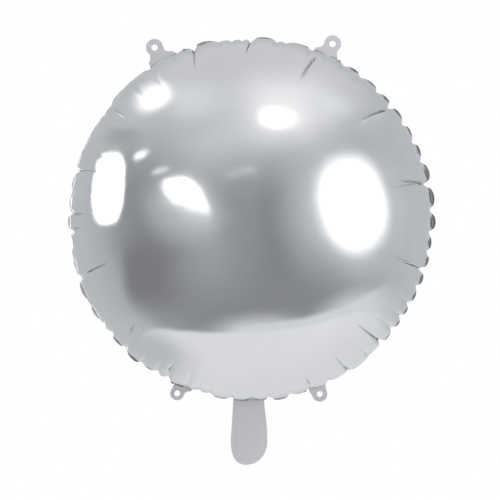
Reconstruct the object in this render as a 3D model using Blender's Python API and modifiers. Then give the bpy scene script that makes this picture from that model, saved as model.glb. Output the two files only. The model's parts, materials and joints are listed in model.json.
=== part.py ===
"""Round foil balloon of the 45 cm class, inflated.

Two metallised films are welded along a scalloped rim. Four hanging tabs with holes and a filling
tail belong to the same two films, and fold where they leave the rim.

Frame: the origin is the middle of the balloon, in the plane of its seam. Seen from the front, +X is
right and +Z is up. +Y points away from the viewer, so the front film faces -Y. Metres.
"""

import math

import bmesh
import bpy

# Balloon body
EQUATOR_RADIUS = 0.178
DOME_SEGMENTS = 64
DOME_RINGS = 12

# Film and clearances: real film is 0.04 mm, the solids stand in for it
FILM = 0.0008
WELDED_FILM = 0.0012
VALVE_FILM = 0.0005
TOUCH_GAP = 0.0003
FOLD_GAP = 0.00025

# Welded rim with its scallops
RIM_INNER_RADIUS = 0.1735
RIM_VALLEY_RADIUS = 0.1806
RIM_PEAK_RADIUS = 0.1838
RIM_LOBES = 58
RIM_POINTS_PER_LOBE = 6
RIM_INNER_POINTS = 96
LOBE_ROUNDNESS = 0.7
SEAT_MARGIN = 0.0035

# Hanging tabs. angle: where the tab sits, in degrees anticlockwise from +X as seen from the front.
# fold: distance of the fold line from the middle. base: the fold line's two ends, measured along it
# from the tab's own radius, clockwise side positive. head: place and size of the round end.
# flanks: angle on the head where each flank leaves it, and how far the flank flares (0 to 1).
TABS = {
    "upper_left_tab": {
        "angle": 118.1,
        "fold": 0.1845,
        "base": (-0.0175, 0.0186),
        "head_along": -0.0038,
        "head_distance": 0.1964,
        "head_radius": 0.0086,
        "hole_radius": 0.0032,
        "flanks": ((118.0, 0.25), (112.0, 0.95)),
    },
    "upper_right_tab": {
        "angle": 64.8,
        "fold": 0.1830,
        "base": (-0.0191, 0.0110),
        "head_along": -0.0003,
        "head_distance": 0.1935,
        "head_radius": 0.0085,
        "hole_radius": 0.0032,
        "flanks": ((108.0, 0.85), (118.0, 0.4)),
    },
    "lower_left_tab": {
        "angle": 247.5,
        "fold": 0.1814,
        "base": (-0.0151, 0.0074),
        "head_along": 0.0010,
        "head_distance": 0.1891,
        "head_radius": 0.0070,
        "hole_radius": 0.0029,
        "flanks": ((100.0, 0.8), (100.0, 0.3)),
    },
    "lower_right_tab": {
        "angle": 291.6,
        "fold": 0.1814,
        "base": (-0.0093, 0.0094),
        "head_along": 0.0,
        "head_distance": 0.1882,
        "head_radius": 0.0076,
        "hole_radius": 0.0029,
        "flanks": ((95.0, 0.4), (95.0, 0.4)),
    },
}
ARC_STEP = math.radians(12.0)
FLANK_POINTS = 7
HOLE_POINTS = 32

# Filling tail
TAIL_ANGLE = 270.0
TAIL_FOLD = 0.1831
TAIL_ROOT_SIDES = (-0.0169, 0.0135)
TAIL_WIDE_SIDES = (-0.0197, 0.0169)
TAIL_WIDE_AT = 0.0385
TAIL_LENGTH = 0.0626
TAIL_TIP_X = -0.0045
TAIL_END_POWERS = (2.4, 2.1)
TAIL_SIDE_POINTS = 8
TAIL_END_POINTS = 10
FILLING_HOLE_AT = 0.0400
FILLING_HOLE_RADIUS = 0.0045
VALVE_HALF_WIDTH = 0.0105
VALVE_LENGTH = 0.0480
VALVE_CORNER = 0.0035
VALVE_CENTRE_X = -0.0017

SILVER = (0.76, 0.765, 0.775, 1.0)
CLEAR_FILM = (0.82, 0.83, 0.84, 1.0)


def clear_scene():
    for old in list(bpy.data.objects):
        bpy.data.objects.remove(old, do_unlink=True)


def make_collection(name):
    collection = bpy.data.collections.new(name)
    bpy.context.scene.collection.children.link(collection)
    return collection


def make_material(name, colour, roughness, metallic):
    material = bpy.data.materials.new(name)
    material.use_nodes = True
    shader = material.node_tree.nodes["Principled BSDF"]
    shader.inputs["Base Color"].default_value = colour
    shader.inputs["Roughness"].default_value = roughness
    shader.inputs["Metallic"].default_value = metallic
    return material


def inflated_profile(radius, rings):
    """Radius and depth of an inflated flat disc, from its pole down to its rim.

    The film can't stretch, so its section is the curve z = integral of t^2 / sqrt(a^4 - t^4).
    With t = a * sqrt(sin(phi)) the depth becomes a/2 times the integral of sqrt(sin(phi)).
    """
    fine = 40
    quarter = math.pi / 2
    points = []
    depth = 0.0
    last = quarter
    for ring in range(rings, -1, -1):
        phi = quarter * (ring / rings) ** 2
        step = (last - phi) / fine
        for k in range(fine):
            depth += radius / 2 * math.sqrt(math.sin(last - (k + 0.5) * step)) * step
        last = phi
        points.append((radius * math.sqrt(max(0.0, math.sin(phi))), depth))
    points.reverse()
    return points


def make_dome(name, front, collection, material):
    """Half of the balloon, turned from the profile and given the film's thickness inwards."""
    mesh = bpy.data.meshes.new(name)
    shape = bmesh.new()
    corners = [shape.verts.new((x, 0.0, z)) for x, z in inflated_profile(EQUATOR_RADIUS, DOME_RINGS)]
    for upper, lower in zip(corners, corners[1:]):
        shape.edges.new((upper, lower))
    shape.to_mesh(mesh)
    shape.free()
    mesh.materials.append(material)
    dome = bpy.data.objects.new(name, mesh)
    collection.objects.link(dome)
    turn = dome.modifiers.new("Turn", "SCREW")
    turn.axis = "Z"
    turn.steps = DOME_SEGMENTS
    turn.render_steps = DOME_SEGMENTS
    turn.use_merge_vertices = True
    turn.merge_threshold = 0.0001
    turn.use_smooth_shade = True
    wall = dome.modifiers.new("Film", "SOLIDIFY")
    wall.thickness = FILM
    wall.offset = -1.0
    side = -1.0 if front else 1.0
    dome.rotation_euler = (-side * math.pi / 2, 0.0, 0.0)
    dome.location = (0.0, side * (WELDED_FILM / 2 + TOUCH_GAP), 0.0)
    return dome


def flat_film(name, loops, thickness, collection, material):
    """A flat film cut to an outline: the first loop is its edge, the others are holes."""
    curve = bpy.data.curves.new(name, "CURVE")
    curve.dimensions = "2D"
    curve.fill_mode = "BOTH"
    curve.extrude = thickness / 2
    for loop in loops:
        spline = curve.splines.new("POLY")
        spline.points.add(len(loop) - 1)
        for point, (x, y) in zip(spline.points, loop):
            point.co = (x, y, 0.0, 1.0)
        spline.use_cyclic_u = True
    curve.materials.append(material)
    film = bpy.data.objects.new(name, curve)
    collection.objects.link(film)
    return film


def face_outward(thing, angle_deg, distance):
    """Place a thing drawn with +Y outward: its origin goes on the fold line, its face to the front."""
    angle = math.radians(angle_deg)
    thing.location = (distance * math.cos(angle), 0.0, distance * math.sin(angle))
    thing.rotation_euler = (math.pi / 2, math.pi / 2 - angle, 0.0)


def circle(centre, radius, count):
    return [
        (
            centre[0] + radius * math.cos(2 * math.pi * k / count),
            centre[1] + radius * math.sin(2 * math.pi * k / count),
        )
        for k in range(count)
    ]


def bend(start, middle, end, count):
    """Inner points of a quadratic curve, without its two ends."""
    points = []
    for k in range(1, count):
        t = k / count
        weights = ((1 - t) ** 2, 2 * t * (1 - t), t**2)
        points.append(
            tuple(
                weights[0] * start[i] + weights[1] * middle[i] + weights[2] * end[i] for i in range(2)
            )
        )
    return points


def flank(head, radius, leave_deg, flare, side, base_end):
    """One side of a tab: the point where it leaves the head, and its curve down to the fold line."""
    leave = math.radians(leave_deg)
    start = (
        head[0] + side * radius * math.sin(leave),
        head[1] + radius * math.cos(leave),
    )
    slide = -side * start[1] / math.tan(math.pi - leave) if leave > math.pi / 2 else 0.0
    tangent_foot = (start[0] + slide, 0.0)
    straight = ((start[0] + base_end[0]) / 2, start[1] / 2)
    middle = tuple(straight[i] + flare * (tangent_foot[i] - straight[i]) for i in range(2))
    return start, bend(start, middle, base_end, FLANK_POINTS)


def tab_outline(tab):
    """Edge of a tab, anticlockwise, with the fold line along its bottom from left to right."""
    head = (tab["head_along"], tab["head_distance"] - tab["fold"])
    left_end = (tab["base"][0], 0.0)
    right_end = (tab["base"][1], 0.0)
    (left_leave, left_flare), (right_leave, right_flare) = tab["flanks"]
    _, left = flank(head, tab["head_radius"], left_leave, left_flare, -1, left_end)
    _, right = flank(head, tab["head_radius"], right_leave, right_flare, 1, right_end)
    first = math.radians(90.0 - right_leave)
    last = math.radians(90.0 + left_leave)
    count = math.ceil((last - first) / ARC_STEP)
    arc = []
    for k in range(count + 1):
        turn = first + (last - first) * k / count
        arc.append(
            (
                head[0] + tab["head_radius"] * math.cos(turn),
                head[1] + tab["head_radius"] * math.sin(turn),
            )
        )
    return [left_end, right_end] + right[::-1] + arc + left


def tail_outline():
    """Edge of the tail, drawn with +Y away from the balloon, so world +X is at its left."""
    right_root, right_wide = TAIL_ROOT_SIDES[1], TAIL_WIDE_SIDES[1]
    left_root, left_wide = TAIL_ROOT_SIDES[0], TAIL_WIDE_SIDES[0]
    side_right = []
    side_left = []
    for k in range(TAIL_SIDE_POINTS):
        t = k / TAIL_SIDE_POINTS
        ease = math.sin(t * math.pi / 2)
        side_right.append((right_root + (right_wide - right_root) * ease, t * TAIL_WIDE_AT))
        side_left.append((left_root + (left_wide - left_root) * t, t * TAIL_WIDE_AT))
    end_right = tail_end(right_wide, TAIL_END_POWERS[1])
    end_left = tail_end(left_wide, TAIL_END_POWERS[0])
    around = side_right + end_right + end_left[-2::-1] + side_left[::-1]
    return [(-x, y) for x, y in around]


def tail_end(widest_x, power):
    """One quarter of the rounded end, from the widest place to the tip."""
    points = []
    for k in range(TAIL_END_POINTS + 1):
        turn = math.pi / 2 * k / TAIL_END_POINTS
        across = math.cos(turn) ** (2 / power)
        along = math.sin(turn) ** (2 / power)
        points.append(
            (
                TAIL_TIP_X + (widest_x - TAIL_TIP_X) * across,
                TAIL_WIDE_AT + (TAIL_LENGTH - TAIL_WIDE_AT) * along,
            )
        )
    return points


def valve_outline(top):
    """A strip with rounded lower corners, drawn like the tail."""
    half = VALVE_HALF_WIDTH
    low = VALVE_LENGTH - VALVE_CORNER
    right_corner = []
    left_corner = []
    for k in range(5):
        turn = math.pi / 2 * k / 4
        across = half - VALVE_CORNER + VALVE_CORNER * math.cos(turn)
        along = low + VALVE_CORNER * math.sin(turn)
        right_corner.append((across, along))
        left_corner.append((-across, along))
    around = [(-half, top), (half, top)] + right_corner + left_corner[::-1]
    return [(x - VALVE_CENTRE_X, y) for x, y in around]


def tail_half_thickness():
    return VALVE_FILM / 2 + TOUCH_GAP + FILM


def rim_seats():
    """Where the rim's edge runs straight: angle, distance and the two ends along it."""
    seats = []
    for tab in TABS.values():
        seat = tab["fold"] - WELDED_FILM / 2 - FOLD_GAP
        seats.append((math.radians(tab["angle"]), seat, tab["base"][0], tab["base"][1]))
    tail_seat = TAIL_FOLD - tail_half_thickness() - FOLD_GAP
    seats.append((math.radians(TAIL_ANGLE), tail_seat, -TAIL_ROOT_SIDES[1], -TAIL_ROOT_SIDES[0]))
    return seats


def rim_radius(angle, seats):
    lobe = abs(math.sin(RIM_LOBES / 2 * angle)) ** LOBE_ROUNDNESS
    radius = RIM_VALLEY_RADIUS + (RIM_PEAK_RADIUS - RIM_VALLEY_RADIUS) * lobe
    for seat_angle, distance, low, high in seats:
        away = math.remainder(seat_angle - angle, 2 * math.pi)
        if abs(away) > math.pi / 4:
            continue
        along = distance * math.tan(away)
        if low - SEAT_MARGIN <= along <= high + SEAT_MARGIN:
            radius = min(radius, distance / math.cos(away))
    return radius


def make_rim(collection, material):
    seats = rim_seats()
    count = RIM_LOBES * RIM_POINTS_PER_LOBE
    outer = []
    for k in range(count):
        angle = 2 * math.pi * k / count
        radius = rim_radius(angle, seats)
        outer.append((radius * math.cos(angle), radius * math.sin(angle)))
    inner = circle((0.0, 0.0), RIM_INNER_RADIUS, RIM_INNER_POINTS)
    rim = flat_film("heat_sealed_rim", [outer, inner], WELDED_FILM, collection, material)
    rim.rotation_euler = (math.pi / 2, 0.0, 0.0)
    return rim


def make_tabs(collection, material):
    for name, tab in TABS.items():
        head = (tab["head_along"], tab["head_distance"] - tab["fold"])
        hole = circle(head, tab["hole_radius"], HOLE_POINTS)
        film = flat_film(name, [tab_outline(tab), hole], WELDED_FILM, collection, material)
        face_outward(film, tab["angle"], tab["fold"])


def make_tail(collection, foil, valve):
    """Front film, back film with its filling hole, and the valve film between them."""
    fold = bpy.data.objects.new("filling_tail_fold", None)
    collection.objects.link(fold)
    face_outward(fold, TAIL_ANGLE, TAIL_FOLD)
    edge = tail_outline()
    hole = circle((-VALVE_CENTRE_X, FILLING_HOLE_AT), FILLING_HOLE_RADIUS, HOLE_POINTS)
    strip = valve_outline(FOLD_GAP - tail_half_thickness())
    layer = VALVE_FILM / 2 + TOUCH_GAP + FILM / 2
    front = flat_film("filling_tail_front_film", [edge], FILM, collection, foil)
    front.location = (0.0, 0.0, layer)
    back = flat_film("filling_tail_back_film", [edge, hole], FILM, collection, foil)
    back.location = (0.0, 0.0, -layer)
    middle = flat_film("filling_valve_film", [strip], VALVE_FILM, collection, valve)
    for film in (front, back, middle):
        film.parent = fold


def build():
    clear_scene()
    parts = make_collection("round_foil_balloon")
    foil = make_material("Satin silver foil", SILVER, 0.22, 1.0)
    valve = make_material("Clear valve film", CLEAR_FILM, 0.3, 0.0)
    make_dome("front_foil", True, parts, foil)
    make_dome("back_foil", False, parts, foil)
    make_rim(parts, foil)
    make_tabs(parts, foil)
    make_tail(parts, foil, valve)


build()
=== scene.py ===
"""Round foil balloon: the inflated film, its welded rim, tabs and filling tail.

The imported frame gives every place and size. The film is shaped by relaxing a grid of unstretchable
film under gas pressure, so its flutes and lobes come from the film that the smaller inflated rim
leaves over. Metres, with the frame's own axes: the front film faces -Y and +Z is up.
"""

import json
import math

import bmesh
import bpy
import numpy as np
from mathutils import Euler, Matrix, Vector
from mathutils.geometry import delaunay_2d_cdt

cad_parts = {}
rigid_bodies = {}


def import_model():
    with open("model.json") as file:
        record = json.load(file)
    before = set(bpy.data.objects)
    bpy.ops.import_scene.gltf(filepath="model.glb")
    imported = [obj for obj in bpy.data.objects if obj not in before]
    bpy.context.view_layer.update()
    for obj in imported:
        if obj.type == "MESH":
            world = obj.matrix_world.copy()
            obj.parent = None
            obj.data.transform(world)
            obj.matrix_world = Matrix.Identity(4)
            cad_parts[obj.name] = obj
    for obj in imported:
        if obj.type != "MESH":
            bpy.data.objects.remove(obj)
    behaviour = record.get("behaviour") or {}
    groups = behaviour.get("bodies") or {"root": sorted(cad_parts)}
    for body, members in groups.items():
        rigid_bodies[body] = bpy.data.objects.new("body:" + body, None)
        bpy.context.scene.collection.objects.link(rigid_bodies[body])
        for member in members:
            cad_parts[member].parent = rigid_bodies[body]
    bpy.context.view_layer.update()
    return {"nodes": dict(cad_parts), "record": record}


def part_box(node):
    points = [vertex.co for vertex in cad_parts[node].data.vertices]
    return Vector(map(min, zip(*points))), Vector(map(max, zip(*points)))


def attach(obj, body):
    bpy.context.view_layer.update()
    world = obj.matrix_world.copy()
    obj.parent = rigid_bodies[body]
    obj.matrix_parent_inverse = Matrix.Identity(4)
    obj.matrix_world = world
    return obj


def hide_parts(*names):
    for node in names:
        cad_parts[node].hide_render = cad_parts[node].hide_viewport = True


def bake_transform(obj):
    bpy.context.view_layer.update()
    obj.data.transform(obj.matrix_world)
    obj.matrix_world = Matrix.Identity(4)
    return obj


for old in list(bpy.data.objects):
    bpy.data.objects.remove(old)

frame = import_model()

MM = 0.001

# Photograph: 500 x 500, one pixel is one millimetre on the seam plane
PHOTO_CENTRE = (250.5, 219.0)
PHOTO_MIDDLE = (250.0, 250.0)

# Film body, from the frame
EQUATOR = (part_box("front_foil")[1][0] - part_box("front_foil")[0][0]) / 2

# Notches between the lobes of the rim, in degrees clockwise from the top
NOTCHES = (
    (-143.0, -135.9, -129.3, -124.7, -117.5, -109.1, -100.1, -94.5, -87.9, -81.3, -74.6, -67.5)
    + (-60.4, -54.6, -50.6, -41.9, -33.8, -26.0, -18.4, -10.3, -6.1, -2.6, 0.5, 8.5, 11.5, 19.7)
    + (25.2, 31.5, 37.9, 45.2, 51.2, 58.0, 64.6, 71.2, 78.9, 87.2, 94.4, 100.7, 106.5, 112.3)
    + (118.1, 123.0, 127.9, 133.3, 139.2, 147.3, 154.1, 160.9, 166.9, 173.9, 179.5, 186.3)
    + (193.1, 197.1, 200.8, 207.5, 211.6)
)

# Long creases of the front film: notch that they start from, outer and inner end in pixels of the
# photograph, and depth
FRONT_CREASES = (
    (-148.4, (168, 371), (172, 366), 0.6),
    (-135.9, (130, 333), (133, 323), 0.5),
    (-109.1, (86, 273), (106, 264), 0.8),
    (-94.5, (74, 228.5), (80, 228), 0.4),
    (-87.9, (74, 214), (84, 214), 0.5),
    (-74.6, (75, 171), (92, 171), 0.7),
    (-50.6, (114, 109), (125, 117), 0.3),
    (-18.4, (192, 49), (195, 67), 1.0),
    (0.5, (250, 38), (246, 53), 1.0),
    (19.7, (316, 57), (302, 76), 1.0),
    (51.2, (387, 109), (363, 119.5), 1.0),
    (78.9, (424, 184), (401, 181), 1.0),
    (78.9, (416, 184), (396, 186.5), 0.3),
    (106.5, (422, 269.5), (399, 260.5), 1.0),
    (106.5, (409, 261.5), (395, 257), 0.3),
    (133.3, (381, 345), (360, 326), 0.8),
    (147.3, (348, 374), (335, 356), 0.5),
    (160.9, (310, 385), (306, 378), 0.5),
)

# How far the flange shows past the front film, and how much shade is painted on its creased film,
# against degrees clockwise from the top
FLANGE_SHOWS = (
    (-180, 0.6, 0.9),
    (-150, 0.7, 1.0),
    (-131, 0.9, 1.0),
    (-126, 1.0, 0.15),
    (-112, 0.8, 0.3),
    (-106, 0.0, 0.0),
    (-100, 0.3, 0.2),
    (-93, 0.6, 0.6),
    (-78, 0.6, 0.6),
    (-70, 0.0, 0.1),
    (-28, 0.0, 0.1),
    (-24, 0.7, 0.8),
    (10, 0.6, 0.8),
    (18, 0.5, 0.4),
    (26, 0.7, 0.8),
    (34, 0.9, 1.0),
    (75, 1.0, 0.9),
    (92, 1.3, 1.0),
    (128, 1.0, 1.0),
    (134, 0.3, 0.3),
    (138, 0.05, 0.0),
    (160, 0.2, 0.1),
    (166, 0.6, 0.8),
    (180, 0.6, 0.9),
)

# How deep the film is gathered at the notches, against degrees clockwise from the top
GATHERS = (
    ((-180, 0.6), (-150, 0.6), (-140, 0.4), (-130, 0.2), (-100, 0.25), (-93, 0.5), (-78, 0.45))
    + ((-68, 0.25), (-28, 0.2), (-22, 0.5), (10, 0.5), (34, 0.8), (45, 1.0), (130, 1.0), (138, 0.5))
    + ((160, 0.5), (180, 0.6))
)
LOBE_COLUMNS = 16
COLUMN_SQUEEZE = 0.5

# Rim: the seam between the lobes' notches, and the welded flange outside it
NOTCH_RADIUS = EQUATOR - 2.0 * MM
LOBE_RISE = 4.9 * MM
LOBE_LENGTH = 20.0 * MM
LONG_NOTCH = 1.6 * MM
FLANGE_WIDTH = 4.8 * MM
FLANGE_REACH = 2.5 * MM
FLANGE_ROWS = 6
SEAM_SWING = 1.3 * MM

# Film grid and relaxation
FILM_INNER = 0.125
FILM_ROWS = 32
INNER_SPACING = 6.0
OUTER_SPACING = 1.6
GATHER_DEPTH = 9.0 * MM
CREASE_DEPTH = 3.0 * MM
CREASE_WIDTH = 1.0 * MM
FAINT_WIDTH = 1.7 * MM
GATHER_DRAW = 2.6 * MM
GATHER_WIDTH = 3.4 * MM
GATHER_START = 8 * MM
GATHER_END = 34 * MM
PINCH_FADE = 1.2 * MM
CREASE_VALLEY = 0.6 * MM
PUCKER_PASSES = 6
MERGE_PASSES = 160
PRESSURE = 0.06
BENDING = 0.006
RELAX_STEPS = 320


def inflated_profile(radius, count=4000):
    """Arc length from the pole, radius and depth of the ideal inflated disc, pole first."""
    phi = math.pi / 2 * np.linspace(0.0, 1.0, count + 1) ** 2
    middle = (phi[1:] + phi[:-1]) / 2
    out = radius * np.sqrt(np.sin(phi))
    fall = radius / 2 * np.sqrt(np.sin(middle)) * np.diff(phi)
    depth = np.concatenate([np.cumsum(fall[::-1])[::-1], [0.0]])
    arc = np.concatenate([[0.0], np.cumsum(np.hypot(np.diff(out), fall))])
    return arc, out, depth


ARC, OUT, DEPTH = inflated_profile(EQUATOR)
FLAT_RADIUS = ARC[-1]

# Camera: level and straight on
LENS = 85.0
SENSOR = 36.0
DISTANCE = 0.5 * LENS / SENSOR
EYE = (
    (PHOTO_MIDDLE[0] - PHOTO_CENTRE[0]) * MM,
    -DISTANCE,
    (PHOTO_CENTRE[1] - PHOTO_MIDDLE[1]) * MM,
)


def surface_point(px, py):
    """The point of the smooth front film that is seen at that pixel of the photograph."""
    eye = np.array(EYE)
    goal = np.array([(px - PHOTO_CENTRE[0]) * MM, 0.0, (PHOTO_CENTRE[1] - py) * MM])
    point = goal.copy()
    for _ in range(8):
        radius = min(math.hypot(point[0], point[2]), 0.9985 * EQUATOR)
        depth = np.interp(radius, OUT, DEPTH)
        point = eye + (goal - eye) * (DISTANCE - depth) / DISTANCE
    return point


def rim_angle(clockwise):
    """Degrees clockwise from the top, as radians anticlockwise from +X."""
    return np.radians(90 - np.asarray(clockwise, float))


def lobe_edges():
    """Angles of the rim's notches, anticlockwise from +X, in order, with one turn's overlap."""
    edges = np.sort(rim_angle(NOTCHES) % (2 * math.pi))
    return np.append(edges, edges[0] + 2 * math.pi)


class Rim:
    """Columns of the film grid: angle, place in the lobe, and the seam and flange there."""

    def __init__(self):
        rng = np.random.default_rng(7)
        edges = lobe_edges()
        steps = np.arange(LOBE_COLUMNS) / LOBE_COLUMNS
        place = steps - COLUMN_SQUEEZE * np.sin(2 * math.pi * steps) / (2 * math.pi)
        lobes = len(edges) - 1
        width = np.diff(edges)
        self.place = np.tile(place, lobes)
        self.lobe = np.repeat(np.arange(lobes), LOBE_COLUMNS)
        self.angle = edges[self.lobe] + self.place * width[self.lobe]
        self.step = np.diff(np.append(self.angle, self.angle[0] + 2 * math.pi))
        self.count = len(self.angle)
        self.from_notch = EQUATOR * np.minimum(self.place, 1 - self.place) * width[self.lobe]
        size = np.clip(EQUATOR * width / LOBE_LENGTH, 0.3, 1.3)
        middle = (90 - np.degrees((edges[1:] + edges[:-1]) / 2) + 180) % 360 - 180
        turns, shows, lobe_shade = zip(*FLANGE_SHOWS)
        shows = np.interp(middle, turns, shows)
        notch_turn = (90 - np.degrees(edges[:-1]) + 180) % 360 - 180
        gather = np.interp(notch_turn, *zip(*GATHERS))
        shows = shows * size * rng.uniform(0.85, 1.15, lobes)
        lobe_shade = np.interp(middle, turns, lobe_shade)
        rise = LOBE_RISE * rng.uniform(0.9, 1.1, lobes) * size**0.7
        swing = SEAM_SWING * rng.uniform(0.6, 1.4, lobes) * size
        notch_swing = -(swing + np.roll(swing, 1)) / 2
        arc = 1 - np.abs(2 * self.place - 1) ** 2.2
        shoulder = smooth(np.clip(self.from_notch / (5 * MM), 0, 1)) ** 0.7
        self.arc = arc
        notch = np.where(self.place < 0.5, notch_swing[self.lobe], np.roll(notch_swing, -1)[self.lobe])
        deeper = np.zeros(lobes)
        for notch_turn, _, _, depth in FRONT_CREASES:
            away = np.abs((edges[:-1] - rim_angle(notch_turn) + math.pi) % (2 * math.pi) - math.pi)
            deeper[np.argmin(away)] = max(deeper[np.argmin(away)], depth)
        gather = np.maximum(gather, deeper)
        self.gather = np.where(self.place < 0.5, gather[self.lobe], np.roll(gather, -1)[self.lobe])
        deeper = np.where(self.place < 0.5, deeper[self.lobe], np.roll(deeper, -1)[self.lobe])
        self.deeper = deeper * (1 - shoulder)
        self.seam_radius = NOTCH_RADIUS + rise[self.lobe] * (0.85 * shoulder + 0.15 * arc)
        self.seam_radius -= LONG_NOTCH * self.deeper
        self.seam_y = arc * swing[self.lobe] + (1 - arc) * notch
        skew = rng.uniform(-0.10, 0.10, lobes)[self.lobe] * np.sin(math.pi * self.place)
        swell = np.sin(math.pi * np.clip(self.place + skew, 0, 1))
        bump = np.clip((swell - 0.25) / 0.75, 0, 1) ** 0.6
        hidden = 1 - np.clip(shows / 0.3, 0, 1)[self.lobe]
        reach = FLANGE_REACH * (0.06 * (1 - hidden) + shows[self.lobe] * bump) - 1.2 * MM * hidden
        self.tilt = np.arccos(np.clip(reach / FLANGE_WIDTH, -0.3, 0.98))
        self.width = np.full(self.count, FLANGE_WIDTH)
        # Painted shade in the seam's crevices beside each lobe, read by the material as a darker base
        # colour
        self.crevice_shade = lobe_shade[self.lobe] * smooth(np.clip((swell - 0.25) / 0.15, 0.0, 1.0))
        self.calm_down()

    def calm_down(self):
        """Where a tab or the tail leaves the rim, the seam lies flat and the flange is short."""
        for root in ROOTS:
            away = (self.angle - root.angle + math.pi) % (2 * math.pi) - math.pi
            along = -np.tan(np.clip(away, -0.6, 0.6)) * root.fold
            low, high = root.base
            outside = np.maximum(np.maximum(low - along, along - high), 0.0) / (4 * MM)
            calm = 1 - smooth(np.clip(outside, 0.0, 1.0))
            self.seam_y *= 1 - calm
            self.tilt *= 1 - calm
            self.width *= 1 - 0.9 * calm
            self.from_notch += calm * 5 * MM
            limit = (root.fold - 1.2 * MM) / np.cos(np.clip(away, -0.6, 0.6))
            self.seam_radius = np.where(
                calm > 0, np.minimum(self.seam_radius, limit + (1 - calm) * 5 * MM), self.seam_radius
            )

    def ring(self, radius, y):
        return np.stack([radius * np.cos(self.angle), y, radius * np.sin(self.angle)], axis=-1)

    def seam(self):
        return self.ring(self.seam_radius, self.seam_y)

    def flange(self):
        rows = []
        for k in range(FLANGE_ROWS + 1):
            out = self.width * k / FLANGE_ROWS
            rows.append(
                self.ring(self.seam_radius + out * np.cos(self.tilt), self.seam_y + out * np.sin(self.tilt))
            )
        return np.array(rows)


def smooth(t):
    return t * t * (3 - 2 * t)


class Root:
    """Where a flat sheet leaves the rim: its fold line and the two ends of its base."""

    def __init__(self, node, joint):
        spec = next(j for j in frame["record"]["behaviour"]["joints"] if j["name"] == joint)
        x, _, z = spec["pos_m"]
        self.node = node
        self.angle = math.atan2(z, x)
        self.fold = math.hypot(x, z)
        self.origin = Vector((x, 0.0, z))
        self.outward = Vector((math.cos(self.angle), 0.0, math.sin(self.angle)))
        self.along = Vector((math.sin(self.angle), 0.0, -math.cos(self.angle)))
        self.loops = front_loops(frame["nodes"][node], self)
        self.edge = self.loops[0]
        low = [u for u, v in self.edge if v < 2 * MM]
        self.base = (min(low), max(low))

    def local(self, point):
        away = point - self.origin
        return away.dot(self.along), away.dot(self.outward)

    def world(self, u, v, w):
        """w is towards the front."""
        return self.origin + self.along * u + self.outward * v + Vector((0.0, -w, 0.0))


def front_loops(node, root):
    """Edge loops of a flat CAD piece's front face, longest first, in its root's own plane."""
    shape = bmesh.new()
    shape.from_mesh(node.data)
    shape.transform(node.matrix_world)
    bmesh.ops.remove_doubles(shape, verts=shape.verts, dist=1e-6)
    shape.normal_update()
    front = {f for f in shape.faces if f.normal.y < -0.9}
    following = {}
    for face in front:
        for loop in face.loops:
            others = [f for f in loop.edge.link_faces if f in front]
            if len(others) == 1:
                following[loop.vert] = loop.link_loop_next.vert
    loops = []
    while following:
        start, here = following.popitem()
        points = [start.co.copy()]
        while here is not start:
            points.append(here.co.copy())
            here = following.pop(here)
        loops.append([root.local(p) for p in points])
    shape.free()
    loops.sort(key=len, reverse=True)
    return sorted(loops, key=lambda l: -(max(v for _, v in l) - min(v for _, v in l)))


ROOTS = []
for node_name, joint_name in (
    ("upper_left_tab", "upper_left_tab_fold"),
    ("upper_right_tab", "upper_right_tab_fold"),
    ("lower_left_tab", "lower_left_tab_fold"),
    ("lower_right_tab", "lower_right_tab_fold"),
    ("filling_tail_back_film", "filling_tail_fold"),
):
    ROOTS.append(Root(node_name, joint_name))
TAB_ROOTS = ROOTS[:4]
TAIL_ROOT = ROOTS[4]


def film_rows():
    """Flat radii of the grid's rings, closer together towards the rim."""
    t = np.linspace(0.0, 1.0, FILM_ROWS)[:-1]
    spacing = INNER_SPACING + (OUTER_SPACING - INNER_SPACING) * (1 - (1 - t) ** 1.3)
    reach = np.concatenate([[0.0], np.cumsum(spacing)]) / spacing.sum()
    return FILM_INNER + reach * (FLAT_RADIUS - FILM_INNER)


def stretch_force(start, end, rest):
    line = end - start
    length = np.sqrt(np.einsum("ijk,ijk->ij", line, line))
    return line * ((length - rest) / np.maximum(length, 1e-9))[..., None]


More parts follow.
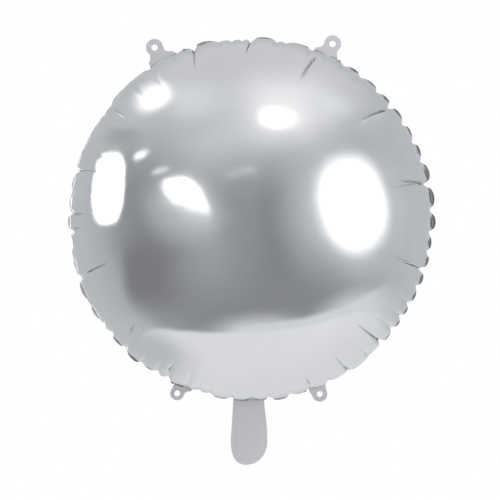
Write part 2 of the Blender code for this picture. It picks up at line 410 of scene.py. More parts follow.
def relax(grid, rows, rim, side):
    """Settle one film between its inner ring and the seam: fixed lengths, pressure, slight bending."""
    smooth_radius = np.interp(rows, ARC, OUT)
    seam = grid[-1]
    seam_length = np.linalg.norm(np.roll(seam, -1, axis=0) - seam, axis=1)
    lobes = rim.lobe.max() + 1
    by_lobe = np.bincount(rim.lobe, seam_length, lobes) / (
        EQUATOR * np.bincount(rim.lobe, rim.step, lobes)
    )
    spare = np.maximum(by_lobe - 1, 0.0)[rim.lobe]
    fade = np.exp(-(FLAT_RADIUS - rows) / GATHER_DEPTH)
    ring_rest = smooth_radius[:, None] * rim.step * (1 + fade[:, None] * spare)
    ring_rest[-1] = seam_length
    row_rest = np.diff(rows)[:, None]
    cross_rest = np.sqrt(row_rest**2 + ring_rest[1:] * ring_rest[:-1])
    spread = np.clip(rim.step.mean() / rim.step, 0.4, 1.6)[None, :, None]
    spread_back = np.roll(spread, 1, axis=1)
    speed = np.zeros_like(grid)
    mass = 8.0 + 40 * BENDING
    for _ in range(RELAX_STEPS):
        force = np.zeros_like(grid)
        after = np.roll(grid, -1, axis=1)
        pull = stretch_force(grid, after, ring_rest)
        force += pull - np.roll(pull, 1, axis=1)
        pull = stretch_force(grid[:-1], grid[1:], row_rest)
        force[:-1] += pull
        force[1:] -= pull
        pull = 0.5 * stretch_force(grid[:-1], after[1:], cross_rest)
        force[:-1] += pull
        force[1:] -= np.roll(pull, 1, axis=1)
        pull = 0.5 * stretch_force(grid[1:], after[:-1], cross_rest)
        force[1:] += pull
        force[:-1] -= np.roll(pull, 1, axis=1)
        before = np.roll(grid, 1, axis=1)
        area = np.cross(after[1:-1] - before[1:-1], grid[2:] - grid[:-2]) / 4
        force[1:-1] += PRESSURE * side * area
        bow = spread * (after - grid) - spread_back * (grid - before)
        force -= BENDING * (
            spread_back * np.roll(bow, 1, axis=1)
            + spread * np.roll(bow, -1, axis=1)
            - (spread + spread_back) * bow
        )
        bow = grid[2:] + grid[:-2] - 2 * grid[1:-1]
        force[2:] -= BENDING * bow
        force[:-2] -= BENDING * bow
        force[1:-1] += 2 * BENDING * bow
        force[0] = 0.0
        force[-1] = 0.0
        force /= mass
        if (force * speed).sum() < 0:
            speed *= 0.3
        speed = 0.95 * speed + force
        grid = grid + speed
    return grid


def ridge(x, half_width):
    return np.maximum(0.0, 1 - np.abs(x) / half_width)


def wrapped(angle):
    return (angle + math.pi) % (2 * math.pi) - math.pi


class Crease:
    """One long crease along a column of the film's grid, from its outer to its inner end."""

    def __init__(self, rim, notch, outer, inner, depth):
        self.depth = depth
        self.ends = []
        for px, py in (outer, inner):
            x, _, z = surface_point(px, py)
            radius = min(math.hypot(x, z), 0.9999 * EQUATOR)
            self.ends.append((float(np.interp(radius, OUT, ARC)), math.atan2(z, x)))
        self.joined = self.ends[0][0] > FLAT_RADIUS - 16 * MM
        start = float(rim_angle(notch)) if self.joined else self.ends[0][1]
        self.column = int(np.argmin(np.abs(wrapped(rim.angle - start))))
        if self.joined:
            self.turn = wrapped(self.ends[1][1] - rim.angle[self.column])
        else:
            self.turn = wrapped(self.ends[1][1] - self.ends[0][1])
        self.width = CREASE_WIDTH if self.joined else FAINT_WIDTH

    def along(self, rows):
        (outer, _), (inner, _) = self.ends
        return ((outer - rows) / (outer - inner))[:, None]

    def strength(self, rows):
        """1 along the crease, easing out at its inner end, and at its outer end if it starts inside."""
        along = self.along(rows)
        fade = np.clip((1.05 - along) / 0.75, 0.0, 1.0) ** 0.7
        start = 1.0 if self.joined else smooth(np.clip((along + 0.1) / 0.25, 0.0, 1.0))
        return self.depth * fade * start

    def warp(self, rows, rim):
        """Turns the film's columns along the crease, so that one of them follows its line."""
        if not self.joined:
            return 0.0
        along = np.clip(self.along(rows), 0.0, 1.3)
        ease = 1 - smooth(np.clip((along - 1.0) / 0.3, 0, 1))
        away = wrapped(rim.angle - rim.angle[self.column])
        return self.turn * along**1.5 * ease * np.exp(-((away / 0.045) ** 2))

    def across(self, grid, rows):
        """Distance of each point from the crease, along its own ring."""
        angle = np.arctan2(grid[..., 2], grid[..., 0])
        line = angle[:, self.column : self.column + 1]
        if not self.joined:
            line = self.ends[0][1] + np.clip(self.along(rows), -0.2, 1.3) * self.turn
        return wrapped(angle - line) * np.hypot(grid[..., 0], grid[..., 2])


def turned(grid, by):
    """The grid's points turned about the Y axis by these angles."""
    c, s = np.cos(by), np.sin(by)
    x, z = grid[..., 0], grid[..., 2]
    return np.stack([x * c - z * s, grid[..., 1], x * s + z * c], axis=-1)


def crease_depth(grid, rows, creases):
    """How far each point is drawn in by the long creases, and how much shade is painted on it in a fold."""
    depth = np.zeros(grid.shape[:2])
    fold = np.zeros(grid.shape[:2])
    for crease in creases:
        across = crease.across(grid, rows)
        strength = crease.strength(rows)
        depth += CREASE_DEPTH * strength * ridge(across, crease.width * (0.7 + 0.3 * strength))
        wide = crease.depth**2 * smooth(np.clip((1.5 - crease.along(rows)) / 1.2, 0.0, 1.0))
        depth += CREASE_VALLEY * wide * np.exp(-((across / (6 * MM)) ** 2))
        # Painted shade along the bottom of each crease, where a deep fold would be dark
        fold = np.maximum(fold, np.clip(1.6 * strength, 0, 1) * ridge(across, 0.75 * crease.width))
    return depth, fold


def unpuckered(grid, rows, rim):
    """Evens out the ripples of single columns near the seam, but leaves the notches sharp."""
    near = smooth(np.clip(1.6 - (FLAT_RADIUS - rows) / (16 * MM), 0, 1))
    near[-1] = 0.0
    free = near[:, None, None] * np.where(rim.place > 0, 0.5, 0.0)[:, None]
    for _ in range(PUCKER_PASSES):
        beside = (np.roll(grid, 1, axis=1) + np.roll(grid, -1, axis=1)) / 2
        grid = grid + free * (beside - grid)
    return grid


def dents(points, rng, size=0.17 * MM):
    """Soft uneven dents of the film: a few long waves in random directions."""
    total = np.zeros(points.shape[:-1])
    for _ in range(9):
        turn = rng.uniform(0, math.pi)
        wave = 2 * math.pi / rng.uniform(0.055, 0.11)
        phase = rng.uniform(0, 2 * math.pi)
        total += np.sin(wave * (points[..., 0] * math.cos(turn) + points[..., 2] * math.sin(turn)) + phase)
    return size * total / 3


def grid_normals(grid, side):
    along = np.roll(grid, -1, axis=1) - np.roll(grid, 1, axis=1)
    outward = np.gradient(grid, axis=0)
    normal = np.cross(along, outward) * side
    return normal / np.maximum(np.linalg.norm(normal, axis=-1, keepdims=True), 1e-12)


def ideal(rows, rim, side):
    """The smooth inflated film at these flat radii."""
    radius = np.interp(rows, ARC, OUT)[:, None] * np.ones(rim.count)
    depth = np.interp(rows, ARC, DEPTH)[:, None] * np.ones(rim.count)
    return np.stack([radius * np.cos(rim.angle), side * depth, radius * np.sin(rim.angle)], axis=-1)


def film(rim, side, creases, seed):
    """Points of one dome, from its pole ring to the seam, and the shade painted at each; side is -1 for the
    front, 1 for the back.
    """
    rng = np.random.default_rng(seed)
    rows = film_rows()
    grid = ideal(rows, rim, side)
    reach = np.clip((rows - FILM_INNER) / (FLAT_RADIUS - FILM_INNER), 0, 1)[:, None, None] ** 4
    grid = grid + reach * (rim.seam() - grid[-1])
    grid[-1] = rim.seam()
    flat = grid.copy()
    grid = relax(grid, rows, rim, side)
    ease = smooth(np.clip((rows - FILM_INNER) / (60 * MM), 0, 1))[:, None, None]
    grid = flat * (1 - ease) + grid * ease
    grid = unpuckered(grid, rows, rim)
    far = smooth(np.clip((FLAT_RADIUS - rows - 12 * MM) / (30 * MM), 0, 1))[:, None, None]
    away = grid - flat
    for _ in range(MERGE_PASSES):
        away = away + 0.5 * far * ((np.roll(away, 1, axis=1) + np.roll(away, -1, axis=1)) / 2 - away)
    grid = flat + away
    for crease in creases:
        grid = turned(grid, crease.warp(rows, rim))
    normal = grid_normals(grid, side)
    inner_rows = np.linspace(0.006, FILM_INNER, 22)[:-1]
    hold = smooth(np.clip((FLAT_RADIUS - rows) / (2 * MM), 0, 1))[:, None]
    calm = smooth(np.clip((FLAT_RADIUS - rows) / (30 * MM), 0, 1))[:, None]
    drawn, fold = crease_depth(grid, rows, creases)
    inside = (FLAT_RADIUS - rows - GATHER_START) / (GATHER_END - GATHER_START)
    near = 1 - smooth(np.clip(inside, 0, 1))[:, None]
    gather = near * ridge(rim.from_notch, GATHER_WIDTH * (0.45 + 0.55 * near))
    drawn = drawn + GATHER_DRAW * gather * rim.gather * (1 + 0.4 * rim.deeper)
    grid = grid + normal * (dents(grid, rng) * calm - drawn * hold)[..., None]
    cap = ideal(inner_rows, rim, side)
    rng = np.random.default_rng(seed)
    cap_normal = grid_normals(np.concatenate([cap, flat[:2]]), side)[:-2]
    cap = cap + cap_normal * dents(cap, rng)[..., None]
    # Painted shade in the crevices beside the seam: strong on the front film, faint on the back
    seam_shade = np.exp(-(FLAT_RADIUS - rows) / PINCH_FADE)[:, None] * rim.crevice_shade
    fold = np.maximum(fold, (0.9 if side < 0 else 0.3) * seam_shade)
    return np.concatenate([cap, grid]), np.concatenate([np.zeros(cap.shape[:2]), fold])


def film_mesh(name, grid, fold, inner_count, side):
    """A dome from its rings: full columns outside, halved twice or three times towards the pole."""
    rings = []
    points = []
    shade = []
    columns = grid.shape[1]
    for k, ring in enumerate(grid):
        skip = 1
        if k < inner_count and columns % 2 == 0:
            skip = 2
        if k < inner_count * 0.6 and columns % 4 == 0:
            skip = 4
        if k < inner_count * 0.25 and columns % 8 == 0:
            skip = 8
        rings.append((len(points), columns // skip))
        points.extend(ring[::skip])
        # The painted shade of creases and seam goes with each kept point
        shade.extend(fold[k][::skip])
    faces = []
    for (inner, few), (outer, many) in zip(rings[:-1], rings[1:]):
        if few == many:
            for j in range(few):
                n = (j + 1) % few
                faces.append((inner + j, inner + n, outer + n, outer + j))
        else:
            for j in range(few):
                n = (j + 1) % few
                a, b, c = outer + 2 * j, outer + 2 * j + 1, outer + (2 * j + 2) % many
                faces += [(inner + j, b, a), (inner + j, inner + n, b), (inner + n, c, b)]
    first, few = rings[0]
    pole = np.mean([points[first + j] for j in range(few)], axis=0)
    points.append(pole)
    shade.append(0.0)
    for j in range(few):
        faces.append((len(points) - 1, first + (j + 1) % few, first + j))
    if side > 0:
        faces = [tuple(reversed(f)) for f in faces]
    made = new_mesh(name, points, faces)
    set_shade(made, shade)
    return made


def new_mesh(name, points, faces):
    mesh = bpy.data.meshes.new(name)
    mesh.from_pydata([tuple(map(float, p)) for p in points], [], faces)
    mesh.update()
    mesh.shade_smooth()
    made = bpy.data.objects.new(name, mesh)
    bpy.context.scene.collection.objects.link(made)
    return made


def thicken(obj, thickness, offset):
    """A closed thin sheet; offset -1 grows it inwards only."""
    solid = obj.modifiers.new("film", "SOLIDIFY")
    solid.thickness = thickness
    solid.offset = offset
    solid.use_even_offset = False
    return obj


def rim_mesh(name, rim):
    rows = rim.flange()
    inner = rim.ring(rim.seam_radius - 0.5 * MM, rim.seam_y)
    rows = np.concatenate([inner[None], rows])
    count = rim.count
    faces = []
    for k in range(len(rows) - 1):
        for j in range(count):
            n = (j + 1) % count
            a = k * count
            faces.append((a + j, a + count + j, a + count + n, a + n))
    made = new_mesh(name, rows.reshape(-1, 3), [tuple(reversed(f)) for f in faces])
    # Painted shade in the seam's crevices on the flange, stronger towards its outer edge
    outwards = np.linspace(0.55, 1.0, len(rows))[:, None]
    set_shade(made, (outwards * rim.crevice_shade).ravel())
    return made


def set_shade(obj, values):
    """Per-point painted shade in creases, beside the seam and at the roots of the flat pieces, for the
    material.
    """
    layer = obj.data.attributes.new("crevice_shade", "FLOAT", "POINT")
    layer.data.foreach_set("value", np.asarray(values, np.float32))


def inside_loop(loop, u, v):
    """Even-odd test of arrays of points against a closed loop."""
    hit = np.zeros(u.shape, bool)
    pts = np.array(loop)
    for (u0, v0), (u1, v1) in zip(pts, np.roll(pts, -1, axis=0)):
        if v0 == v1:
            continue
        cross = (v0 > v) != (v1 > v)
        at = u0 + (v - v0) * (u1 - u0) / (v1 - v0)
        hit ^= cross & (u < at)
    return hit


def distance_to(loop, u, v):
    """Distance from arrays of points to a closed loop."""
    best = np.full(u.shape, np.inf)
    pts = np.array(loop)
    for (u0, v0), (u1, v1) in zip(pts, np.roll(pts, -1, axis=0)):
        du, dv = u1 - u0, v1 - v0
        t = np.clip(((u - u0) * du + (v - v0) * dv) / (du * du + dv * dv + 1e-18), 0, 1)
        best = np.minimum(best, np.hypot(u - u0 - t * du, v - v0 - t * dv))
    return best


def resampled(loop, spacing):
    """The loop with its long edges split, so that the sheet can bend."""
    out = []
    pts = np.array(loop)
    for a, b in zip(pts, np.roll(pts, -1, axis=0)):
        parts = max(1, int(math.ceil(np.linalg.norm(b - a) / spacing)))
        out += [tuple(a + (b - a) * k / parts) for k in range(parts)]
    return out


def sheet_mesh(name, root, loops, spacing, height):
    """A flat sheet inside its outline and round its holes, lifted by height(u, v, edge distance)."""
    loops = [resampled(loop, spacing) for loop in loops]
    outline = loops[0]
    lo, hi = np.min(outline, axis=0), np.max(outline, axis=0)
    gu, gv = np.meshgrid(
        np.arange(lo[0], hi[0], spacing), np.arange(lo[1], hi[1], spacing * 0.866), indexing="ij"
    )
    gu = gu + 0.5 * spacing * (np.arange(gv.shape[1]) % 2)
    u, v = gu.ravel(), gv.ravel()
    keep = inside_loop(outline, u, v)
    for loop in loops[1:]:
        keep &= ~inside_loop(loop, u, v)
    far = np.min([distance_to(loop, u, v) for loop in loops], axis=0)
    keep &= far > 0.6 * spacing
    plane = [Vector(p) for loop in loops for p in loop] + [Vector(p) for p in zip(u[keep], v[keep])]
    edges = []
    start = 0
    for loop in loops:
        edges += [(start + k, start + (k + 1) % len(loop)) for k in range(len(loop))]
        start += len(loop)
    verts, _, faces, _, _, _ = delaunay_2d_cdt(plane, edges, [], 0, 1e-7)
    at = np.array([tuple(p) for p in verts])
    middle = np.array([np.mean(at[list(f)], axis=0) for f in faces])
    good = inside_loop(outline, middle[:, 0], middle[:, 1])
    for loop in loops[1:]:
        good &= ~inside_loop(loop, middle[:, 0], middle[:, 1])
    edge = distance_to(outline, at[:, 0], at[:, 1])
    lift = height(at[:, 0], at[:, 1], edge)
    points = [root.world(a[0], a[1], h) for a, h in zip(at, lift)]
    made = new_mesh(name, points, [tuple(f) for f, g in zip(faces, good) if g])
    shape = bmesh.new()
    shape.from_mesh(made.data)
    bmesh.ops.recalc_face_normals(shape, faces=shape.faces)
    if sum(f.normal.y * f.calc_area() for f in shape.faces) > 0:
        bmesh.ops.reverse_faces(shape, faces=shape.faces)
    loose = [p for p in shape.verts if not p.link_faces]
    bmesh.ops.delete(shape, geom=loose, context="VERTS")
    shape.to_mesh(made.data)
    shape.free()
    made.data.shade_smooth()
    return made


def shade_root(obj, reach):
    """Paints shade on a flat piece where the rim's lobes press against it."""
    at = np.array([v.co for v in obj.data.vertices])
    radius = np.hypot(at[:, 0], at[:, 2])
    angle = np.arctan2(at[:, 2], at[:, 0]) % (2 * math.pi)
    turn = np.argsort(rim.angle % (2 * math.pi))
    known = (rim.angle % (2 * math.pi))[turn]
    edge = np.interp(angle, known, rim.seam_radius[turn], period=2 * math.pi)
    lobe = np.interp(angle, known, rim.crevice_shade[turn], period=2 * math.pi)
    set_shade(obj, lobe * (1 - smooth(np.clip((radius - edge) / reach, 0.0, 1.0))))


def tucked(loop, depth):
    """The outline with its base drawn in under the rim."""
    return [(u, v - depth if v < 0.6 * MM else v) for u, v in loop]


# Materials


def nodes_of(name):
    material = bpy.data.materials.new(name)
    material.use_nodes = True
    tree = material.node_tree
    return material, tree, tree.nodes["Principled BSDF"]


def add(tree, kind, **values):
    node = tree.nodes.new(kind)
    for key, value in values.items():
        if key in node.inputs:
            node.inputs[key].default_value = value
        else:
            setattr(node, key.lower(), value)
    return node


def foil(name, base, rough, rough_spread, grain, grain_scale, ripple, metal, crevice_shade, front_only=False):
    """Satin metallised film: slightly uneven gloss, a fine grain and faint long ripples, with shade painted
    into its base colour in creases and crevices.
    """
    material, tree, shader = nodes_of(name)
    link = tree.links.new
    place = add(tree, "ShaderNodeTexCoord")
    cloud = add(tree, "ShaderNodeTexNoise", Scale=22.0, Detail=3.0, Roughness=0.55)
    link(place.outputs["Object"], cloud.inputs["Vector"])
    gloss = add(tree, "ShaderNodeMapRange")
    gloss.inputs["From Min"].default_value = 0.3
    gloss.inputs["From Max"].default_value = 0.7
    gloss.inputs["To Min"].default_value = rough - rough_spread
    gloss.inputs["To Max"].default_value = rough + rough_spread
    link(cloud.outputs["Fac"], gloss.inputs["Value"])
    link(gloss.outputs["Result"], shader.inputs["Roughness"])
    tint = add(tree, "ShaderNodeValToRGB")
    tint.color_ramp.elements[0].position = 0.3
    tint.color_ramp.elements[0].color = (base[0] * 0.965, base[1] * 0.965, base[2] * 0.97, 1)
    tint.color_ramp.elements[1].position = 0.7
    tint.color_ramp.elements[1].color = (*base, 1)
    link(cloud.outputs["Fac"], tint.inputs["Fac"])
    # Painted shade: the point attribute mixes the base colour towards a dark grey
    layer = add(tree, "ShaderNodeAttribute", attribute_name="crevice_shade")
    depth = layer.outputs["Fac"]
    # On the seam band, the painted shade goes only where the object-space normal points to the front
    if front_only:
        facing = add(tree, "ShaderNodeSeparateXYZ")
        link(place.outputs["Normal"], facing.inputs["Vector"])
        front = add(tree, "ShaderNodeMapRange")
        front.inputs["From Min"].default_value = 0.05
        front.inputs["From Max"].default_value = -0.05
        link(facing.outputs["Y"], front.inputs["Value"])
        share = add(tree, "ShaderNodeMath", operation="MULTIPLY")
        link(depth, share.inputs[0])
        link(front.outputs["Result"], share.inputs[1])
        depth = share.outputs["Value"]
    darker = add(tree, "ShaderNodeMix", data_type="RGBA")
    darker.inputs["B"].default_value = (crevice_shade, crevice_shade, crevice_shade * 1.03, 1)
    link(depth, darker.inputs["Factor"])
    link(tint.outputs["Color"], darker.inputs["A"])
    link(darker.outputs["Result"], shader.inputs["Base Color"])
    fine = add(tree, "ShaderNodeTexNoise", Scale=grain_scale, Detail=2.0, Roughness=0.6)
    link(place.outputs["Object"], fine.inputs["Vector"])
    long = add(tree, "ShaderNodeTexNoise", Scale=55.0, Detail=1.0, Roughness=0.4)
    link(place.outputs["Object"], long.inputs["Vector"])
    first = add(tree, "ShaderNodeBump", Strength=ripple, Distance=0.001)
    link(long.outputs["Fac"], first.inputs["Height"])
    second = add(tree, "ShaderNodeBump", Strength=grain, Distance=0.0002)
    link(fine.outputs["Fac"], second.inputs["Height"])
    link(first.outputs["Normal"], second.inputs["Normal"])
    link(second.outputs["Normal"], shader.inputs["Normal"])
    shader.inputs["Metallic"].default_value = metal
    return material


def clear_film(name):
    material, tree, shader = nodes_of(name)
    link = tree.links.new
    place = add(tree, "ShaderNodeTexCoord")
    fine = add(tree, "ShaderNodeTexNoise", Scale=900.0, Detail=2.0)
    link(place.outputs["Object"], fine.inputs["Vector"])
    bump = add(tree, "ShaderNodeBump", Strength=0.25, Distance=0.0002)
    link(fine.outputs["Fac"], bump.inputs["Height"])
    link(bump.outputs["Normal"], shader.inputs["Normal"])
    gloss = add(tree, "ShaderNodeMapRange")
    gloss.inputs["To Min"].default_value = 0.18
    gloss.inputs["To Max"].default_value = 0.34
    link(fine.outputs["Fac"], gloss.inputs["Value"])
    link(gloss.outputs["Result"], shader.inputs["Roughness"])
    shader.inputs["Base Color"].default_value = (0.82, 0.83, 0.84, 1)
    shader.inputs["Transmission Weight"].default_value = 0.85
    shader.inputs["IOR"].default_value = 1.5
    return material


rim = Rim()
front_creases = [Crease(rim, *spec) for spec in FRONT_CREASES]
back_creases = []
back_rng = np.random.default_rng(31)
for notch in NOTCHES[1::4]:
    turn = float(rim_angle(notch))
    length = back_rng.uniform(9, 25)
    ends = []
    for inside in (3, length):
        reach = EQUATOR / MM - inside
        lean = turn + back_rng.uniform(-0.02, 0.02)
        ends.append((PHOTO_CENTRE[0] + reach * math.cos(lean), PHOTO_CENTRE[1] - reach * math.sin(lean)))
    back_creases.append(Crease(rim, notch, *ends, back_rng.uniform(0.5, 1.0)))
# Each film comes with the painted shade of its creases and seam crevices
front_grid, front_painted_shade = film(rim, -1, front_creases, 11)
back_grid, back_painted_shade = film(rim, 1, back_creases, 23)

# The grey after the metal value is the colour of each foil's painted shade
foil_dome = foil("foil_dome", (0.80, 0.808, 0.82), 0.085, 0.02, 0.08, 1400.0, 0.05, 1.0, 0.10)
foil_flat = foil("foil_flat", (0.80, 0.80, 0.825), 0.58, 0.05, 0.2, 900.0, 0.1, 0.4, 0.16)
foil_rim = foil("foil_rim", (0.76, 0.765, 0.775), 0.55, 0.05, 0.20, 1100.0, 0.15, 0.8, 0.09, True)
valve_clear = clear_film("valve_clear")

FILM = 0.12 * MM
front = film_mesh("front_film", front_grid, front_painted_shade, 21, -1)
back = film_mesh("back_film", back_grid, back_painted_shade, 21, 1)
welded = rim_mesh("welded_rim", rim)
for obj, material, node in (
    (front, foil_dome, "front_foil"),
    (back, foil_dome, "back_foil"),
    (welded, foil_rim, "heat_sealed_rim"),
):
    obj.data.materials.append(material)
    thicken(obj, FILM, 0.0 if obj is welded else -1.0)
    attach(obj, "balloon")
    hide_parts(node)


def bend_over(obj, root, start=-0.6 * MM, end=1.6 * MM):
    tuple(root.world(0, start, 0))
    tuple(root.world(0, end, 0))
    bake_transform(obj)


CURLS = {"upper_left_tab": 0.5, "upper_right_tab": -0.4, "lower_left_tab": -0.5, "lower_right_tab": 0.4}
for root in TAB_ROOTS:
    curl = CURLS[root.node] * MM
    reach = max(v for _, v in root.edge)

    def tab_height(u, v, edge, curl=curl, reach=reach):
        rise = np.clip(v / reach, 0, 1)
        return 0.15 * MM + curl * rise**2

    loops = [tucked(root.loops[0], 6 * MM)] + root.loops[1:]
    tab = sheet_mesh(root.node + "_film", root, loops, 0.7 * MM, tab_height)
    # Painted shade at the tab's root, under the rim's lobes
    shade_root(tab, 2.2 * MM)
    tab.data.materials.append(foil_flat)
    thicken(tab, 2 * FILM, 0.0)
    tab.visible_glossy = False
    bend_over(tab, root)
    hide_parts(root.node)

TAIL_PUFF = 0.5 * MM
TAIL_SEAL = 3.2 * MM


def tail_half(name, node, side):
    root = TAIL_ROOT
    edges = front_loops(frame["nodes"][node], root)
    loops = [tucked(edges[0], 6 * MM)] + edges[1:]
    reach = max(v for _, v in edges[0])

    def height(u, v, edge):
        puff = smooth(np.clip((edge - TAIL_SEAL * 0.5) / (6 * MM), 0, 1)) * np.clip(v / reach + 0.2, 0, 1)
        wave = 0.10 * MM * np.sin(u / (4.3 * MM) + side) * np.sin(v / (11 * MM) + 0.7 * side)
        curl = 0.5 * MM * np.clip(v / reach, 0, 1) ** 2
        return -side * (0.14 * MM + TAIL_PUFF * puff + wave * puff) + curl

    made = sheet_mesh(name, root, loops, 0.9 * MM, height)
    # Painted shade at the tail's root, under the rim's lobes
    shade_root(made, 2.0 * MM)
    made.data.materials.append(foil_flat)
    thicken(made, FILM, 0.0)
    made.visible_glossy = False
    bend_over(made, root, -1.5 * MM, 2.0 * MM)
    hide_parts(node)
    return made


tail_half("tail_front_film", "filling_tail_front_film", -1)
tail_half("tail_back_film", "filling_tail_back_film", 1)

valve_root = TAIL_ROOT
valve_loops = front_loops(frame["nodes"]["filling_valve_film"], valve_root)
valve = sheet_mesh(
    "valve_film",
    valve_root,
    valve_loops[:1],
    1.2 * MM,
    lambda u, v, edge: 0.12 * MM * np.sin(v / (5 * MM)) + 0.6 * MM * (v / (62 * MM)) ** 2,
)
valve.data.materials.append(valve_clear)
thicken(valve, 0.06 * MM, 0.0)
valve.visible_glossy = False
bend_over(valve, valve_root, -1.5 * MM, 2.0 * MM)
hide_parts("filling_valve_film")


camera_data = bpy.data.cameras.new("camera")
camera_data.lens = LENS
camera_data.sensor_width = SENSOR
camera = bpy.data.objects.new("camera", camera_data)
bpy.context.scene.collection.objects.link(camera)
camera.location = EYE
camera.rotation_euler = (math.pi / 2, 0.0, 0.0)
bpy.context.scene.camera = camera
bpy.context.scene.view_settings.view_transform = "Standard"


# Studio: white behind the camera's view, greys for what the foil reflects, glowing cards and a pale floor
CARD_DISTANCE = 1.7
CARD_RINGS = 8


def reflection(px, py):
    """Where the front film reflects to, seen at that pixel of the photograph: a point and a direction."""
    eye = np.array(EYE)
    point = surface_point(px, py)
    radius = math.hypot(point[0], point[2])
    share = min((radius / EQUATOR) ** 2, 0.997)
    slope = math.asin(share)
    normal = np.array(
        [math.sin(slope) * point[0] / radius, -math.cos(slope), math.sin(slope) * point[2] / radius]
    )
    ray = (point - eye) / np.linalg.norm(point - eye)
    return point, ray - 2 * ray.dot(normal) * normal


def blob(cx, cy, rx, ry, turn=0.0, power=2.0, count=40):
    """Outline of an oval, or of a rounded box where power is over 2, in pixels of the photograph."""
    out = []
    for k in range(count):
        t = 2 * math.pi * k / count
        c, s = math.cos(t), math.sin(t)
        u = rx * math.copysign(abs(c) ** (2 / power), c)
        v = ry * math.copysign(abs(s) ** (2 / power), s)
        a = math.radians(turn)
        out.append((cx + u * math.cos(a) - v * math.sin(a), cy + u * math.sin(a) + v * math.cos(a)))
    return out


def behind(u, v):
    """A direction from the middle of the balloon, mostly straight back."""
    way = np.array([u, 1.0, v])
    return np.zeros(3), way / np.linalg.norm(way)


def card(name, outline, radiance, soft, layer, glow=True, focus=None, where=reflection):
    """A soft-edged card, set where the front film shows it inside that outline of the photograph.

    soft is the part of the card, from its edge in towards focus, over which it fades out."""
    middle = np.array(focus) if focus else np.mean(outline, axis=0)
    points, alpha, faces = [], [], []
    count = len(outline)
    for ring in range(CARD_RINGS + 1):
        share = 1 - ring / CARD_RINGS * (1 if soft >= 1 else soft)
        for px, py in outline:
            at = middle + (np.array([px, py]) - middle) * max(share, 0.02)
            point, way = where(*at)
            points.append(point + way * (CARD_DISTANCE + 0.03 * layer))
            alpha.append(smooth(ring / CARD_RINGS))
    for ring in range(CARD_RINGS):
        for k in range(count):
            n = (k + 1) % count
            a, b = ring * count, (ring + 1) * count
            faces.append((a + k, a + n, b + n, b + k))
    faces.append(tuple(CARD_RINGS * count + k for k in range(count)))
    made = new_mesh(name, points, faces)
    layer_data = made.data.attributes.new("fade", "FLOAT", "POINT")
    layer_data.data.foreach_set("value", np.array(alpha, np.float32))
    material = bpy.data.materials.new(name)
    material.use_nodes = True
    tree = material.node_tree
    tree.nodes.clear()
    fade = add(tree, "ShaderNodeAttribute", attribute_name="fade")
    lamp = add(tree, "ShaderNodeEmission")
    lamp.inputs["Color"].default_value = (1, 1, 1, 1) if radiance > 1 else (0.975, 0.995, 1.035, 1)
    path = add(tree, "ShaderNodeLightPath")
    late = add(tree, "ShaderNodeMath", operation="GREATER_THAN")
    late.inputs[1].default_value = 1.5
    tree.links.new(path.outputs["Ray Depth"], late.inputs[0])
    mirrored = add(tree, "ShaderNodeMath", operation="MULTIPLY")
    tree.links.new(late.outputs["Value"], mirrored.inputs[0])
    tree.links.new(path.outputs["Is Glossy Ray"], mirrored.inputs[1])
    strength = add(tree, "ShaderNodeMapRange")
    strength.inputs["To Min"].default_value = radiance
    strength.inputs["To Max"].default_value = min(radiance, 0.6)
    tree.links.new(mirrored.outputs["Value"], strength.inputs["Value"])
    tree.links.new(strength.outputs["Result"], lamp.inputs["Strength"])
    empty = add(tree, "ShaderNodeBsdfTransparent")
    mix = add(tree, "ShaderNodeMixShader")
    out = add(tree, "ShaderNodeOutputMaterial")
    tree.links.new(fade.outputs["Fac"], mix.inputs["Fac"])
    tree.links.new(empty.outputs["BSDF"], mix.inputs[1])
    tree.links.new(lamp.outputs["Emission"], mix.inputs[2])
    tree.links.new(mix.outputs["Shader"], out.inputs["Surface"])
    made.data.materials.append(material)
    made.visible_camera = False
    made.visible_shadow = False
    made.visible_diffuse = glow
    return made


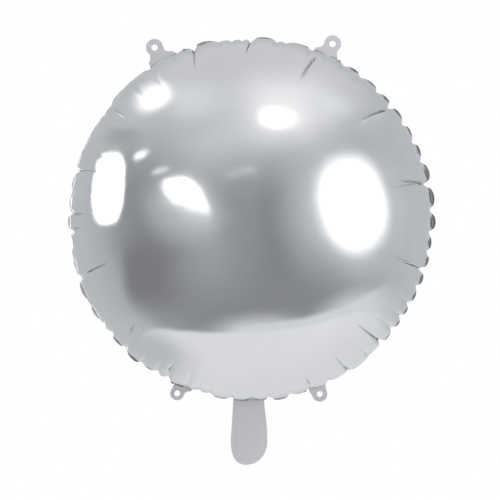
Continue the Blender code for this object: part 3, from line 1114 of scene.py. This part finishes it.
LEFT_BOX = (
    [(91, 174), (94, 162), (100, 154), (108, 150.5), (117, 150.5), (123, 155), (126, 164), (125.5, 185)]
    + [(124, 204), (120.5, 216), (116, 225), (106, 228.5), (97, 228), (92, 220), (89, 205), (89, 188)]
)
NEAR_LEFT_BOX = [(158, 180), (182, 179), (201, 190), (215, 215), (190, 213), (170, 209), (162, 196)]
FLOOR_EDGE = (
    [(128, 354), (150, 337), (180, 335), (212, 334), (245, 326), (280, 319), (320, 311), (360, 298)]
    + [(396, 282), (405, 320), (370, 372), (300, 398), (200, 398), (140, 376)]
)
CARDS = (
    ("left_box", LEFT_BOX, 2.2, 0.16, 0, True),
    ("right_box", blob(351, 204, 42, 58, -12, 2.3), 1.9, 0.5, 0, True),
    ("right_halo", blob(348, 206, 84, 108, -14, 2.0), 0.95, 1.0, 2, True),
    ("top_box", blob(278, 118, 26, 15, 4, 2.4), 1.8, 0.65, 0, True),
    ("top_halo", blob(283, 110, 80, 58, 0, 2.0), 1.1, 1.0, 2, True),
    ("upper_left_box", blob(153, 97, 26, 18, -25, 2.2), 1.8, 0.9, 0, True),
    ("upper_left_glow", blob(194, 100, 46, 28, 0, 3.0), 0.82, 0.9, 1, False),
    ("upper_right_box", blob(328, 102, 36, 17, 12, 2.0), 0.9, 1.0, 1, True),
    ("near_left_box", NEAR_LEFT_BOX, 2.4, 0.3, 0, True),
    ("near_left_halo", blob(188, 203, 60, 50, 10, 2.0), 0.76, 1.0, 2, True),
    ("small_box_1", blob(141, 153.5, 9.5, 4, -20, 2.4), 1.6, 0.5, 0, True),
    ("small_box_2", blob(159, 171, 9, 2.2, -3, 2.4), 1.4, 0.5, 0, True),
    ("small_box_3", blob(242.5, 171, 8.5, 1.4, 0, 2.6), 1.4, 0.5, 0, True),
    ("dark_upper_left", blob(122, 136, 27, 13, -4, 2.4), 0.46, 0.8, 1, False),
    ("dark_left", blob(153, 272, 38, 50, -3, 3.2), 0.245, 0.65, 4, False, (137, 274)),
    ("grey_middle", blob(212, 240, 60, 90, 0, 2.2), 0.43, 1.0, 5, False),
    ("grey_upper", blob(225, 135, 140, 68, 0, 2.2), 0.68, 1.0, 4, False),
    ("floor_glow", FLOOR_EDGE, 0.80, 0.25, 3, False),
    ("floor_haze", blob(258, 333, 70, 26, -4, 2.2), 0.82, 1.0, 2, False),
    ("floor_haze_right", blob(350, 305, 50, 20, -18, 2.2), 0.66, 1.0, 2, False),
    ("floor_shade", blob(148, 350, 70, 32, 24, 2.2), 0.60, 0.85, -30, False),
)
for spec in CARDS:
    card(*spec)
card("left_edge_box", blob(-0.36, -0.03, 0.15, 0.30), 1.8, 0.8, 0, False, None, behind)


def studio_world():
    world = bpy.data.worlds.new("studio")
    bpy.context.scene.world = world
    world.use_nodes = True
    tree = world.node_tree
    tree.nodes.clear()
    link = tree.links.new
    place = add(tree, "ShaderNodeTexCoord")
    parts = add(tree, "ShaderNodeSeparateXYZ")
    link(place.outputs["Generated"], parts.inputs["Vector"])
    depth = add(tree, "ShaderNodeMapRange")
    depth.inputs["From Min"].default_value = -1.0
    depth.inputs["From Max"].default_value = 1.0
    link(parts.outputs["Y"], depth.inputs["Value"])
    greys = add(tree, "ShaderNodeValToRGB")
    ramp = greys.color_ramp
    stops = ((0.0, 0.29), (0.12, 0.30), (0.3, 0.37), (0.5, 0.51), (0.75, 0.58), (1.0, 0.56))
    while len(ramp.elements) < len(stops):
        ramp.elements.new(0.5)
    for element, (at, grey) in zip(ramp.elements, stops):
        element.position = at
        element.color = (grey * 0.975, grey, grey * 1.045, 1)
    link(depth.outputs["Result"], greys.inputs["Fac"])
    lift = add(tree, "ShaderNodeMapRange", interpolation_type="SMOOTHSTEP")
    lift.inputs["From Min"].default_value = 0.45
    lift.inputs["From Max"].default_value = 0.85
    link(parts.outputs["Z"], lift.inputs["Value"])
    above = add(tree, "ShaderNodeMix", data_type="RGBA")
    above.inputs["B"].default_value = (0.70, 0.703, 0.72, 1)
    link(lift.outputs["Result"], above.inputs["Factor"])
    link(greys.outputs["Color"], above.inputs["A"])
    rays = add(tree, "ShaderNodeLightPath")
    seen = add(tree, "ShaderNodeMix", data_type="RGBA")
    seen.inputs["B"].default_value = (1, 1, 1, 1)
    link(rays.outputs["Is Camera Ray"], seen.inputs["Factor"])
    link(above.outputs["Result"], seen.inputs["A"])
    glow = add(tree, "ShaderNodeBackground")
    link(seen.outputs["Result"], glow.inputs["Color"])
    out = add(tree, "ShaderNodeOutputWorld")
    link(glow.outputs["Background"], out.inputs["Surface"])


studio_world()

FLOOR_Z = -0.9
bpy.ops.mesh.primitive_circle_add(
    vertices=96, radius=1.05, fill_type="NGON", location=(0.15, 0.2, FLOOR_Z)
)
floor = bpy.context.object
floor.name = "floor"
floor_material, floor_tree, floor_shader = nodes_of("floor")
floor_shader.inputs["Base Color"].default_value = (0.88, 0.88, 0.88, 1)
floor_shader.inputs["Roughness"].default_value = 0.7
floor.data.materials.append(floor_material)
floor_shader.inputs["Emission Color"].default_value = (1, 1, 1, 1)
floor_shader.inputs["Emission Strength"].default_value = 0.16
